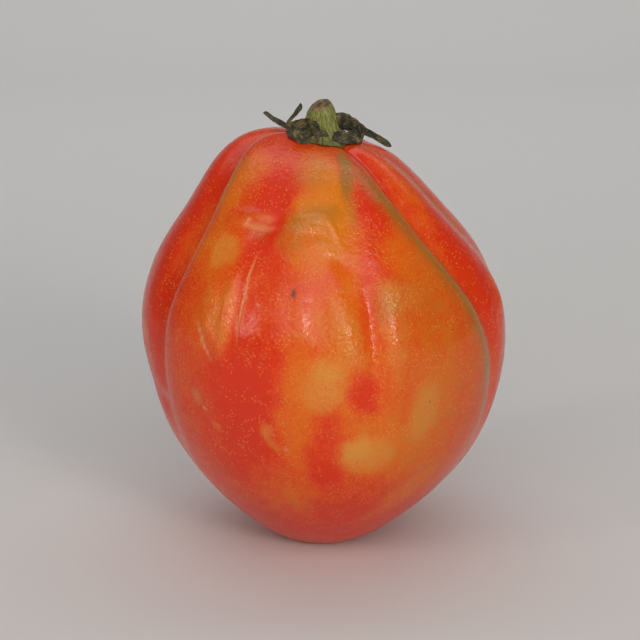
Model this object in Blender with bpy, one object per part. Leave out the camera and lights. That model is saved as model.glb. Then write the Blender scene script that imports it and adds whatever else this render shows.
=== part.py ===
"""A ribbed, heart-shaped tomato standing on its blossom end, with its stem stub and dried sepals.

Lengths are in millimetres until each mesh is made, then in metres. +Z is up, the origin is the centre of the
small flat spot that the fruit rests on, and the front of the fruit faces -Y.
An azimuth is counted in degrees from the front (-Y) towards +X, so 90 is the right-hand side.
A distance down the skin is counted from the centre of the stem end.
"""

import math

import bpy
from mathutils import Vector

for old in list(bpy.data.objects):
    bpy.data.objects.remove(old)

MM = 0.001

# One side of the fruit from its stem end to the edge of the resting spot: radius, height.
FRUIT_PROFILE = (
    (0.0, 101.3), (6.0, 101.3), (13.0, 100.2), (20.0, 97.2), (27.0, 91.2), (33.4, 82.6), (39.6, 72.7),
    (43.6, 63.2), (44.8, 53.6), (43.6, 43.2), (40.2, 31.3), (35.0, 21.8), (27.6, 13.3), (18.4, 5.2),
    (13.0, 1.7), (9.0, 0.0),
)

# The skin's mesh: columns in each rib and how far they crowd towards the creases, the levels near the stem,
# and the rings below them.
RIB_COLUMNS = 8
RIB_CROWDING = 0.55
CROWN_LEVELS = (2.5, 3.8, 5.2, 7.0, 9.4)
SKIN_RINGS = 32

# Where the creases between the ribs run: azimuth at each of these distances down the skin.
CREASE_STATIONS = (8.0, 18.0, 28.0, 45.0, 62.0, 85.0, 110.0)
# Azimuths, depth, then the valley's half width on its lower-azimuth and its higher-azimuth side.
CREASES = (
    ((-100, -80, -67, -61, -62, -64, -66), 4.2, 6.0, 2.3),
    ((-38, -28, -22, -22, -26, -27, -25), 0.8, 6.0, 6.0),
    ((14, 18, 13, 12, 14, 16, 14), 1.1, 5.0, 5.0),
    ((32, 36, 36.5, 48, 61, 70, 67), 3.2, 3.0, 4.0),
    ((68, 74, 78, 84, 93, 99, 97), 1.3, 4.0, 5.0),
    ((112, 119, 123, 127, 130, 132, 130), 2.4, 4.0, 4.0),
    ((156, 162, 165, 168, 170, 171, 170), 1.3, 5.0, 5.0),
    ((203, 207, 210, 214, 216, 217, 216), 2.8, 3.4, 4.6),
    ((236, 244, 251, 259, 263, 264, 263), 1.2, 5.0, 5.0),
)
# The creases narrow towards the stem, from this radius in, to this share of their width.
CREASE_GATHER_RADIUS = 26.0
CREASE_GATHERED = 0.2
# How much of a crease's depth is left at each distance down the skin.
CREASE_FADE = ((0.0, 0.15), (9.0, 0.35), (20.0, 0.9), (34.0, 1.0), (62.0, 0.9), (88.0, 0.35), (115.0, 0.05))

# Broad swellings: azimuth, distance down the skin, half width across in degrees, half width down, height.
SWELLINGS = (
    (-108, 19, 52, 12, 4.8),
    (-92, 46, 50, 24, 2.0),
    (-92, 98, 50, 26, -1.0),
    (92, 31, 44, 14, -2.2),
    (95, 88, 50, 24, 0.9),
    (-30, 56, 14, 14, 0.6),
)
# The relief dies away over these lengths of skin, under the stem and round the resting spot.
CROWN_SETTLE = 6.0
SPOT_SETTLE = 12.0
# The skin's slope is taken over this much skin either way.
SLOPE_REACH = 0.5

# The swollen foot of the stem as radius and height over the skin, then the stub as radius and height.
STEM_FOOT = ((2.0, 0.3), (4.7, 0.3), (5.3, 0.9))
STEM_PROFILE = (
    (5.0, 103.3), (4.2, 103.9), (3.6, 104.8), (3.2, 106.2), (2.7, 107.8), (2.2, 109.2), (1.9, 110.3),
)
STEM_COLUMNS = 15
STEM_RIDGES = 5
STEM_RIDGE_SHARE = 0.06
# The cut across the stub rises towards one side, from this height up.
STEM_CUT_FROM = 107.0
STEM_CUT_RISE = 0.9
STEM_CUT_TURN = math.radians(20)

# Each sepal from its root to its tip: centre, width, and the direction that its face looks in.
SEPALS = {
    "sepal_left_long": (
        ((-6.1, 0.6, 102.8), 1.3, (0.3, -0.6, 0.7)),
        ((-8.6, 1.0, 103.5), 1.4, (0.3, -0.7, 0.6)),
        ((-11.2, 1.6, 104.9), 1.6, (0.4, -0.7, 0.5)),
        ((-13.9, 2.0, 106.8), 1.2, (0.4, -0.8, 0.4)),
    ),
    "sepal_left_upright": (
        ((-4.2, 3.4, 104.5), 2.2, (-0.2, -0.9, 0.5)),
        ((-6.2, 3.4, 104.7), 2.0, (-0.1, -0.9, 0.5)),
        ((-8.0, 3.0, 105.0), 1.5, (0.2, -0.9, 0.5)),
        ((-7.3, 2.9, 106.6), 1.1, (0.1, -1.0, 0.1)),
        ((-5.3, 3.1, 109.0), 0.4, (-0.2, -1.0, 0.1)),
    ),
    "sepal_front_curl": (
        ((-0.7, -5.7, 102.9), 1.8, (0.3, -0.9, -0.2)),
        ((-2.6, -6.2, 102.3), 2.2, (0.1, -0.7, -0.7)),
        ((-4.9, -6.2, 102.9), 2.4, (-0.5, -0.7, -0.5)),
        ((-5.8, -6.0, 104.6), 2.4, (-0.8, -0.7, 0.0)),
        ((-4.8, -5.9, 106.4), 2.3, (-0.4, -0.7, 0.6)),
        ((-2.6, -5.9, 106.7), 1.9, (0.2, -0.7, 0.7)),
        ((-1.3, -6.0, 105.2), 1.0, (0.7, -0.7, 0.2)),
    ),
    "sepal_right_long": (
        ((4.6, 1.0, 105.3), 2.4, (0.1, -0.9, 0.5)),
        ((6.2, 0.8, 104.6), 3.4, (0.2, -0.8, 0.5)),
        ((8.3, 0.9, 103.2), 2.8, (0.3, -0.7, 0.6)),
        ((10.6, 1.4, 101.6), 1.9, (0.4, -0.6, 0.7)),
        ((13.2, 2.2, 100.0), 1.8, (0.4, -0.5, 0.8)),
        ((16.0, 3.0, 98.4), 1.5, (0.4, -0.5, 0.8)),
    ),
    "sepal_right_curl": (
        ((4.6, -4.2, 102.6), 1.8, (0.2, -0.8, 0.5)),
        ((6.4, -4.7, 102.2), 2.5, (0.3, -0.8, 0.4)),
        ((8.1, -3.6, 102.5), 2.5, (0.8, -0.5, 0.3)),
        ((8.3, -1.9, 102.9), 2.0, (0.9, 0.0, 0.4)),
        ((7.2, -0.9, 103.2), 1.2, (0.5, 0.6, 0.5)),
    ),
}
SEPAL_THICKNESS = 0.6
# A sepal's edges bend out of its flat by this share of its width.
SEPAL_TROUGH = 0.12
SEPAL_COLUMNS = 8
SEPAL_RINGS_PER_STATION = 3
# A sepal's heading is taken over this share of a station either way.
HEADING_REACH = 0.05


def spline(knots, at):
    """The value at a place along (place, value) knots, eased through them by a Catmull-Rom curve."""
    last = len(knots) - 1
    if at <= knots[0][0]:
        return knots[0][1]
    if at >= knots[last][0]:
        return knots[last][1]
    i = max(k for k in range(last) if knots[k][0] <= at)
    span = knots[i + 1][0] - knots[i][0]
    before, after = knots[max(i - 1, 0)], knots[min(i + 2, last)]
    slope_in = (knots[i + 1][1] - before[1]) / (knots[i + 1][0] - before[0]) * span
    slope_out = (after[1] - knots[i][1]) / (after[0] - knots[i][0]) * span
    u = (at - knots[i][0]) / span
    return (
        (2 * u**3 - 3 * u**2 + 1) * knots[i][1]
        + (u**3 - 2 * u**2 + u) * slope_in
        + (3 * u**2 - 2 * u**3) * knots[i + 1][1]
        + (u**3 - u**2) * slope_out
    )


def profile_knots():
    """The profile as radius and height against the distance down the skin."""
    down, radii, heights = 0.0, [], []
    for i, (radius, height) in enumerate(FRUIT_PROFILE):
        if i:
            down += math.dist(FRUIT_PROFILE[i - 1], (radius, height))
        radii.append((down, radius))
        heights.append((down, height))
    return radii, heights, down


RADII, HEIGHTS, SKIN_LENGTH = profile_knots()


def crease_azimuth(crease, down):
    return spline(list(zip(CREASE_STATIONS, crease[0])), down)


def skin_relief(azimuth, down, radius):
    """How far the skin stands out of the plain profile: its swellings less its creases."""
    relief = 0.0
    for at, level, across, along, height in SWELLINGS:
        turn = (azimuth - at + 180) % 360 - 180
        relief += height * math.exp(-((turn / across) ** 2) - ((down - level) / along) ** 2)
    gather = min(1.0, CREASE_GATHERED + radius / CREASE_GATHER_RADIUS)
    for crease in CREASES:
        turn = (azimuth - crease_azimuth(crease, down) + 180) % 360 - 180
        arc = math.radians(turn) * radius
        width = gather * (crease[2] if arc < 0 else crease[3])
        relief -= crease[1] * spline(CREASE_FADE, down) / (1 + (arc / width) ** 2)
    return relief


def skin_point(azimuth, down):
    """A point of the fruit's skin."""
    radius, height = spline(RADII, down), spline(HEIGHTS, down)
    above, below = down - SLOPE_REACH, down + SLOPE_REACH
    drop = spline(HEIGHTS, above) - spline(HEIGHTS, below)
    spread = spline(RADII, below) - spline(RADII, above)
    out = Vector((drop, spread)).normalized()
    settle = min(1.0, (SKIN_LENGTH - down) / SPOT_SETTLE, down / CROWN_SETTLE)
    relief = skin_relief(azimuth, down, radius) * settle
    radius, height = radius + out.x * relief, height + out.y * relief
    turn = math.radians(azimuth)
    return Vector((radius * math.sin(turn), -radius * math.cos(turn), height))


def rib_azimuths(down):
    """The azimuths of the columns at one level, from crease to crease and closer set near them."""
    edges = [crease_azimuth(crease, down) for crease in CREASES]
    edges.append(edges[0] + 360)
    azimuths = []
    for low, high in zip(edges, edges[1:]):
        for k in range(RIB_COLUMNS):
            even = k / RIB_COLUMNS
            share = even - RIB_CROWDING * math.sin(math.tau * even) / math.tau
            azimuths.append(low + (high - low) * share)
    return azimuths


def make_object(name, points, faces, material):
    """One closed mesh object from points in millimetres."""
    mesh = bpy.data.meshes.new(name)
    mesh.from_pydata([point * MM for point in points], [], faces)
    mesh.validate()
    mesh.shade_smooth()
    mesh.materials.append(material)
    piece = bpy.data.objects.new(name, mesh)
    bpy.context.scene.collection.objects.link(piece)
    return piece


def make_material(name, colour, roughness):
    material = bpy.data.materials.new(name)
    material.use_nodes = True
    shader = material.node_tree.nodes["Principled BSDF"]
    shader.inputs["Base Color"].default_value = (*colour, 1.0)
    shader.inputs["Roughness"].default_value = roughness
    shader.inputs["Metallic"].default_value = 0.0
    return material


def ripe_skin():
    return make_material("ripe_skin", (0.62, 0.075, 0.02), 0.32)


def green_stalk():
    return make_material("green_stalk", (0.13, 0.17, 0.03), 0.6)


def dried_sepal():
    return make_material("dried_sepal", (0.045, 0.04, 0.022), 0.75)


def ring_faces(rings, columns):
    """Quads between rings of points that are numbered ring after ring."""
    faces = []
    for row in range(rings - 1):
        for k in range(columns):
            following = (k + 1) % columns
            here, below = row * columns, (row + 1) * columns
            faces.append((here + k, below + k, below + following, here + following))
    return faces


def make_fruit():
    """The whole ripe fruit, grown as one piece, with a flat spot under its blossom end."""
    levels = list(CROWN_LEVELS)
    step = (SKIN_LENGTH - CROWN_LEVELS[-1]) / SKIN_RINGS
    levels.extend(CROWN_LEVELS[-1] + step * (row + 1) for row in range(SKIN_RINGS))
    points = []
    for down in levels:
        points.extend(skin_point(azimuth, down) for azimuth in rib_azimuths(down))
    columns = RIB_COLUMNS * len(CREASES)
    faces = ring_faces(len(levels), columns)
    crown = len(points)
    points.append(Vector((0.0, 0.0, sum(point.z for point in points[:columns]) / columns)))
    faces.extend((crown, k, (k + 1) % columns) for k in range(columns))
    foot = (len(levels) - 1) * columns
    faces.append(tuple(foot + k for k in reversed(range(columns))))
    make_object("fruit", points, faces, ripe_skin())


def make_stem():
    """The stub of the stalk, green and swollen where it meets the fruit, with its end cut off askew."""
    points = []
    for radius, over_skin in STEM_FOOT:
        for k in range(STEM_COLUMNS):
            turn = math.tau * k / STEM_COLUMNS
            skin = skin_point(math.degrees(turn) + 90, radius)
            points.append(Vector((radius * math.cos(turn), radius * math.sin(turn), skin.z + over_skin)))
    for radius, height in STEM_PROFILE:
        raised = max(0.0, (height - STEM_CUT_FROM) / (STEM_PROFILE[-1][1] - STEM_CUT_FROM))
        for k in range(STEM_COLUMNS):
            turn = math.tau * k / STEM_COLUMNS
            ridged = radius * (1 + STEM_RIDGE_SHARE * math.cos(STEM_RIDGES * turn))
            rise = STEM_CUT_RISE * raised * math.cos(turn - STEM_CUT_TURN)
            points.append(Vector((ridged * math.cos(turn), ridged * math.sin(turn), height + rise)))
    rings = len(STEM_FOOT) + len(STEM_PROFILE)
    faces = [tuple(reversed(face)) for face in ring_faces(rings, STEM_COLUMNS)]
    top = (rings - 1) * STEM_COLUMNS
    faces.append(tuple(reversed(range(STEM_COLUMNS))))
    faces.append(tuple(top + k for k in range(STEM_COLUMNS)))
    make_object("stem", points, faces, green_stalk())


def make_sepal(name, stations, material):
    """One dried sepal: a thin strip swept through stations of centre, width and the way its face looks."""
    centres = [(i, Vector(station[0])) for i, station in enumerate(stations)]
    widths = [(i, station[1]) for i, station in enumerate(stations)]
    looks = [(i, Vector(station[2])) for i, station in enumerate(stations)]
    rings = (len(stations) - 1) * SEPAL_RINGS_PER_STATION + 1
    points = []
    for row in range(rings):
        at = row / SEPAL_RINGS_PER_STATION
        centre, width = spline(centres, at), spline(widths, at)
        along = spline(centres, at + HEADING_REACH) - spline(centres, at - HEADING_REACH)
        across = along.cross(spline(looks, at)).normalized()
        face = across.cross(along).normalized()
        for k in range(SEPAL_COLUMNS):
            turn = math.tau * k / SEPAL_COLUMNS
            side, lift = math.cos(turn), math.sin(turn)
            trough = SEPAL_TROUGH * width * (side * side - 0.5)
            raised = lift * SEPAL_THICKNESS / 2 + trough
            points.append(centre + across * (side * width / 2) + face * raised)
    faces = ring_faces(rings, SEPAL_COLUMNS)
    foot = (rings - 1) * SEPAL_COLUMNS
    faces.append(tuple(range(SEPAL_COLUMNS)))
    faces.append(tuple(foot + k for k in reversed(range(SEPAL_COLUMNS))))
    make_object(name, points, faces, material)


def make_sepals():
    """The sepals, curled up and dried to a dark green-brown."""
    dried = dried_sepal()
    for name, stations in SEPALS.items():
        make_sepal(name, stations, dried)


make_fruit()
make_stem()
make_sepals()
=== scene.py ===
"""A ripe, ribbed, heart-shaped tomato standing on its blossom end, with its cut stem and dried calyx."""

import math

import bpy
import numpy as np
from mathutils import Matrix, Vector, noise


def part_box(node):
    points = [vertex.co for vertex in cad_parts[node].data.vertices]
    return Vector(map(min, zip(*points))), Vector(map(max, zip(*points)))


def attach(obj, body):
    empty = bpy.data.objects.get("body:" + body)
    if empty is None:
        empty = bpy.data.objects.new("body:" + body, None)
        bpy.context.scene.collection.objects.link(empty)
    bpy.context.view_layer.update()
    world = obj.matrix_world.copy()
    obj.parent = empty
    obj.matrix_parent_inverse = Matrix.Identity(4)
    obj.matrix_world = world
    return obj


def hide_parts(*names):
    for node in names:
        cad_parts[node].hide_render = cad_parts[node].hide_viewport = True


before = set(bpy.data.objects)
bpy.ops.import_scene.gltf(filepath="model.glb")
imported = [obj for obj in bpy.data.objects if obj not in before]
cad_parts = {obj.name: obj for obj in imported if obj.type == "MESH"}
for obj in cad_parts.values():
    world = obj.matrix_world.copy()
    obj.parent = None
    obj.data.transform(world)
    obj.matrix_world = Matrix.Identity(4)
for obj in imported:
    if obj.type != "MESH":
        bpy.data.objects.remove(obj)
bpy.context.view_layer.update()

# ----------------------------------------------------------------------------------------------------
# The fruit: one whole tomato, a thin waxy skin over soft flesh. It grew as a ring of ribs gathered in
# under the stem and tapering together to a blunt heart's point, which has settled to a small flat spot
# where it stands.
# ----------------------------------------------------------------------------------------------------

GROWN_HEIGHT = 102.67
fruit_low, fruit_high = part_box("fruit")
MM = (fruit_high.z - fruit_low.z) / GROWN_HEIGHT

# One side of the fruit from the stem down to the edge of the resting spot: radius, height.
FRUIT_PROFILE = np.array([
    (0.0, 101.3), (6.0, 101.3), (13.0, 100.2), (20.0, 97.2), (27.0, 91.2), (33.4, 82.6), (39.6, 72.7),
    (43.6, 63.2), (44.8, 53.6), (43.6, 43.2), (40.2, 31.3), (35.0, 21.8), (27.6, 13.3), (18.4, 5.2),
    (13.0, 1.7), (9.0, 0.0),
])
PROFILE_DOWN = np.concatenate([[0.0], np.cumsum(np.hypot(*np.diff(FRUIT_PROFILE, axis=0).T))])
SKIN_LENGTH = PROFILE_DOWN[-1]
SLOPE_REACH = 0.5

# The creases between the ribs: azimuth in degrees (0 is the front, 90 the right side) at each distance down.
CREASE_DOWN = (8, 18, 28, 45, 62, 85, 110)
# Azimuths, depth, and the valley's half width on its lower- and its higher-azimuth side.
CREASES = (
    ((-100, -80, -67, -61, -62, -64, -66), 4.2, 6.0, 2.3),
    ((-38, -28, -22, -22, -26, -27, -25), 0.8, 6.0, 6.0),
    ((14, 18, 13, 12, 14, 16, 14), 1.1, 5.0, 5.0),
    ((33, 41, 43, 52.5, 62.5, 70, 67), 3.2, 3.0, 4.0),
    ((68, 74, 78, 84, 93, 99, 97), 1.3, 4.0, 5.0),
    ((112, 119, 123, 127, 130, 132, 130), 2.4, 4.0, 4.0),
    ((156, 162, 165, 168, 170, 171, 170), 1.3, 5.0, 5.0),
    ((203, 207, 210, 214, 216, 217, 216), 2.8, 3.4, 4.6),
    ((236, 244, 251, 259, 263, 264, 263), 1.2, 5.0, 5.0),
)
CREASE_FADE = ((0, 0.15), (9, 0.35), (20, 0.9), (34, 1.0), (62, 0.9), (88, 0.35), (115, 0.05))
GATHER_RADIUS = 26.0
LEAST_GATHER = 0.2

# Broad swellings: azimuth, distance down, half width across in degrees, half width down, height.
SWELLINGS = (
    (-108, 19, 52, 12, 4.8),
    (-92, 46, 50, 24, 2.0),
    (-92, 98, 50, 26, -1.0),
    (92, 31, 44, 14, -2.2),
    (95, 88, 50, 24, 0.9),
    (-30, 56, 14, 14, 0.6),
)

# Ridges (+) and dents (-) of the front ribs: azimuth, distance down, half width and half length, height,
# all in millimetres but the azimuth, and how far the ridge leans to higher azimuths per millimetre down.
DIMPLES = (
    (-31.0, 35.0, 4.2, 2.0, 0.83, -0.8),
    (-27.0, 40.0, 3.4, 3.2, -0.83, -0.5),
    (-31.5, 60.0, 1.3, 8.0, 0.83, 0.0),
    (-37.0, 57.0, 2.2, 5.0, 0.52, 0.2),
    (-36.0, 64.5, 1.6, 4.5, 0.52, 0.5),
    (-28.5, 58.0, 1.2, 8.5, -0.52, 0.0),
    (-7.2, 56.5, 1.3, 7.5, 0.45, 0.0),
    (-1.5, 57.0, 3.0, 8.5, -0.75, 0.0),
    (7.2, 61.5, 2.6, 6.5, 0.9, 0.25),
    (15.5, 60.0, 2.0, 11.0, -0.9, 0.0),
    (21.8, 62.0, 2.6, 9.5, 0.9, 0.0),
    (24.0, 53.5, 5.0, 2.6, 0.52, 0.6),
    (-6.0, 35.0, 4.0, 1.8, 0.75, -0.9),
    (4.2, 37.5, 1.2, 3.0, 0.6, 0.4),
    (-2.0, 38.5, 3.2, 1.8, -0.68, 0.0),
    (1.5, 42.0, 3.6, 1.8, 0.52, 0.9),
    (6.5, 45.0, 2.4, 6.0, -0.45, 0.3),
    (17.0, 43.0, 2.0, 3.4, 0.45, 0.0),
    (-45.0, 81.0, 3.0, 3.6, -0.52, 0.0),
    (-70.0, 88.0, 4.0, 3.0, -0.9, 0.0),
    (78.0, 62.0, 3.0, 7.0, 0.6, 0.0),
    (148.0, 50.0, 3.0, 8.0, 0.75, 0.0),
    (186.0, 44.0, 4.0, 3.0, -0.75, 0.5),
    (232.0, 60.0, 2.4, 9.0, 0.68, 0.0),
)
SCAR = (-26.3, 54.5, 0.22, 9.5, -0.16, -0.05)

# The relief dies away over these distances from the stem and from the resting spot.
CROWN_FADE = 6.0
RESTING_FADE = 12.0

RIB_COLUMNS = 38
RIB_CROWDING = 0.5
SKIN_RINGS = 268
FIRST_RING_DOWN = 1.2
RING_CROWDING = 1.08


def eased(places, values, at):
    """Values along a line, eased through their places by a Catmull-Rom curve."""
    places, values = np.asarray(places, float), np.asarray(values, float)
    slopes = np.empty_like(values)
    slopes[1:-1] = (values[2:] - values[:-2]) / (places[2:] - places[:-2])
    slopes[0] = (values[1] - values[0]) / (places[1] - places[0])
    slopes[-1] = (values[-1] - values[-2]) / (places[-1] - places[-2])
    i = np.clip(np.searchsorted(places, at, side="right") - 1, 0, len(places) - 2)
    span = places[i + 1] - places[i]
    u = np.clip((at - places[i]) / span, 0.0, 1.0)
    return (
        (2 * u**3 - 3 * u**2 + 1) * values[i]
        + (u**3 - 2 * u**2 + u) * span * slopes[i]
        + (3 * u**2 - 2 * u**3) * values[i + 1]
        + (u**3 - u**2) * span * slopes[i + 1]
    )


def turn_between(azimuth, other):
    return (azimuth - other + 180.0) % 360.0 - 180.0


def profile_at(down):
    """Radius and height of the plain profile at distances down the skin."""
    return [eased(PROFILE_DOWN, column, down) for column in FRUIT_PROFILE.T]


def plain_skin(down):
    """Radius and height of the plain profile, and its outward direction, at distances down the skin."""
    radius, height = profile_at(down)
    radius_above, height_above = profile_at(down - SLOPE_REACH)
    radius_below, height_below = profile_at(down + SLOPE_REACH)
    drop = height_above - height_below
    spread = radius_below - radius_above
    length = np.hypot(drop, spread)
    return radius, height, drop / length, spread / length


def crease_arcs(azimuth, down):
    """Each crease's distance in millimetres across the skin, negative on its lower-azimuth side."""
    radius = plain_skin(down)[0]
    turns = [turn_between(azimuth, eased(CREASE_DOWN, crease[0], down)) for crease in CREASES]
    return [np.radians(turn) * radius for turn in turns]


def mark_reach(azimuth, down, mark):
    """How far out points are from the middle of a mark on the skin: 1 is its half width or half length."""
    middle, level, half_width, half_length, _, lean = mark
    across = np.radians(turn_between(azimuth, middle)) * plain_skin(down)[0] - lean * (down - level)
    return np.hypot(across / half_width, (down - level) / half_length)


def ends_faded(down, crown_fade):
    """1 on most of the skin, falling to 0 at the stem and at the resting spot."""
    return np.clip(np.minimum((SKIN_LENGTH - down) / RESTING_FADE, down / crown_fade), 0.0, 1.0)


def skin_relief(azimuth, down):
    """How far the skin stands out of the plain profile: its swellings less its creases."""
    relief = np.zeros_like(azimuth)
    for at, level, across, along, height in SWELLINGS:
        turn = turn_between(azimuth, at)
        relief += height * np.exp(-((turn / across) ** 2) - ((down - level) / along) ** 2)
    gather = np.minimum(1.0, LEAST_GATHER + plain_skin(down)[0] / GATHER_RADIUS)
    fade = eased(*zip(*CREASE_FADE), down)
    for (_, depth, low_side, high_side), arc in zip(CREASES, crease_arcs(azimuth, down)):
        width = gather * np.where(arc < 0, low_side, high_side)
        relief -= depth * fade / (1 + (arc / width) ** 2)
    for mark in (*DIMPLES, SCAR):
        height = mark[4]
        relief += height * np.exp(-(mark_reach(azimuth, down, mark) ** 2))
    return relief * ends_faded(down, CROWN_FADE)


def skin_points(azimuth, down):
    """Points of the fruit's skin, in millimetres."""
    radius, height, out, up = plain_skin(down)
    relief = skin_relief(azimuth, down)
    radius, height = radius + out * relief, height + up * relief
    turn = np.radians(azimuth)
    return np.stack([radius * np.sin(turn), -radius * np.cos(turn), height], axis=-1)


def rib_grid():
    """Azimuth and distance down of each skin point: rings down the fruit, columns from crease to crease."""
    share_down = np.linspace(0.0, 1.0, SKIN_RINGS) ** RING_CROWDING
    down = FIRST_RING_DOWN + (SKIN_LENGTH - FIRST_RING_DOWN) * share_down
    edges = np.array([eased(CREASE_DOWN, crease[0], down) for crease in CREASES])
    edges = np.concatenate([edges, edges[:1] + 360.0])
    even = np.arange(RIB_COLUMNS) / RIB_COLUMNS
    share = even - RIB_CROWDING * np.sin(math.tau * even) / math.tau
    ribs = [low[:, None] + (high - low)[:, None] * share for low, high in zip(edges, edges[1:])]
    azimuth = np.concatenate(ribs, axis=1)
    return azimuth, np.repeat(down[:, None], azimuth.shape[1], axis=1)


def ring_quads(rings, columns):
    """Quads between closed rings of points that are numbered ring after ring."""
    here = np.arange(rings - 1)[:, None] * columns + np.arange(columns)
    following = np.arange(rings - 1)[:, None] * columns + (np.arange(columns) + 1) % columns
    return np.stack([here, here + columns, following + columns, following], axis=-1).reshape(-1, 4)


def waviness(points, size, seed):
    """Smooth noise between -1 and 1 at each of some points, with waves about this many millimetres long."""
    flat = points.reshape(-1, 3) / size + seed
    return np.array([noise.noise(Vector(point)) for point in flat]).reshape(points.shape[:-1])


def layered_waviness(points, layers):
    """Smooth noise added up in layers, each of a height, a size of wave and a seed."""
    return sum(height * waviness(points, size, seed) for height, size, seed in layers)


def closed_mesh_object(name, points, faces):
    """A smooth mesh object in the scene, from points in millimetres."""
    mesh = bpy.data.meshes.new(name)
    mesh.from_pydata((points * MM).tolist(), [], faces)
    mesh.shade_smooth()
    made = bpy.data.objects.new(name, mesh)
    bpy.context.scene.collection.objects.link(made)
    return made


# Unevenness of the skin between its marks, in layers of height, size and seed. It pushes the skin away
# from a point on the fruit's axis, and less in height than across.
SKIN_UNEVENNESS = ((0.16, 9.0, 3.1), (0.05, 3.4, 7.7))
UNEVEN_CROWN_FADE = 8.0
PUSH_CENTRE_HEIGHT = 30.0
PUSH_HEIGHT_SHARE = 0.6

azimuth, down = rib_grid()
skin_rows = skin_points(azimuth, down)
outward = skin_rows * (1.0, 1.0, PUSH_HEIGHT_SHARE) - (0.0, 0.0, PUSH_CENTRE_HEIGHT)
outward /= np.linalg.norm(outward, axis=-1, keepdims=True)
uneven = layered_waviness(skin_rows, SKIN_UNEVENNESS) * ends_faded(down, UNEVEN_CROWN_FADE)
skin_rows = skin_rows + outward * uneven[..., None]
columns = azimuth.shape[1]
crown = np.array([[0.0, 0.0, skin_rows[0, :, 2].mean()]])
fruit_faces = ring_quads(SKIN_RINGS, columns).tolist()
fruit_faces += [(SKIN_RINGS * columns, k, (k + 1) % columns) for k in range(columns)]
fruit_faces.append(list(range(SKIN_RINGS * columns - 1, (SKIN_RINGS - 1) * columns - 1, -1)))
fruit = closed_mesh_object("tomato_skin", np.concatenate([skin_rows.reshape(-1, 3), crown]), fruit_faces)

# Colour on the skin, each patch as a mark like the dimples: azimuth, distance down, half width and half
# length, strength, lean. Riper skin is redder; the golden blotches are where it has not coloured yet.
ORANGE_AREAS = (
    (-1.0, 24.0, 8.0, 12.0, 0.62, 0.0), (-4.0, 40.0, 6.0, 9.0, 0.55, 0.0),
    (8.0, 38.0, 4.0, 16.0, 0.5, 0.1), (-52.0, 28.0, 5.0, 9.0, 0.5, 0.0),
    (-45.0, 44.0, 8.0, 7.0, 0.35, 0.0), (0.0, 76.0, 10.5, 14.0, 0.2, 0.0),
    (-8.0, 84.0, 4.5, 26.0, 0.28, 0.0), (14.0, 70.0, 9.0, 16.0, 0.2, 0.0),
    (20.0, 92.0, 16.0, 9.0, 0.25, 0.0), (32.0, 82.0, 14.0, 22.0, 0.22, 0.0),
    (45.0, 66.0, 12.0, 20.0, 0.18, 0.0), (34.0, 46.0, 8.0, 8.0, 0.3, 0.0),
    (-18.0, 106.0, 5.0, 14.0, 0.25, 0.3), (35.0, 108.0, 4.0, 10.0, 0.3, -0.5),
    (-36.0, 58.0, 6.0, 10.0, 0.25, 0.0), (3.0, 58.0, 5.0, 9.0, 0.35, 0.0),
    (62.0, 30.0, 4.0, 12.0, 0.3, 0.0), (-66.0, 42.0, 5.0, 8.0, 0.35, 0.0),
    (120.0, 36.0, 9.0, 14.0, 0.5, 0.0), (146.0, 78.0, 12.0, 22.0, 0.45, 0.0),
    (182.0, 34.0, 10.0, 12.0, 0.55, 0.0), (196.0, 82.0, 9.0, 20.0, 0.4, 0.0),
    (226.0, 46.0, 7.0, 14.0, 0.4, 0.0), (250.0, 92.0, 10.0, 14.0, 0.35, 0.0),
    (100.0, 88.0, 9.0, 16.0, 0.4, 0.0),
)
DEEP_RED_AREAS = (
    (-23.0, 30.0, 4.0, 12.0, 0.6, -0.1), (27.0, 24.0, 6.0, 12.0, 0.5, 0.0),
    (66.0, 48.0, 4.5, 22.0, 0.5, 0.0), (-80.0, 60.0, 12.0, 40.0, 0.3, 0.0),
    (12.5, 77.0, 3.2, 5.0, 0.6, 0.0), (1.5, 92.0, 5.0, 9.0, 0.45, 0.0),
    (-24.0, 74.0, 8.0, 14.0, 0.3, 0.0), (-30.0, 92.0, 9.0, 12.0, 0.2, 0.0),
    (160.0, 52.0, 8.0, 16.0, 0.4, 0.0), (210.0, 62.0, 9.0, 18.0, 0.4, 0.0),
    (275.0, 40.0, 7.0, 20.0, 0.3, 0.0), (0.0, 122.0, 30.0, 12.0, 0.25, 0.0),
)
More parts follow.
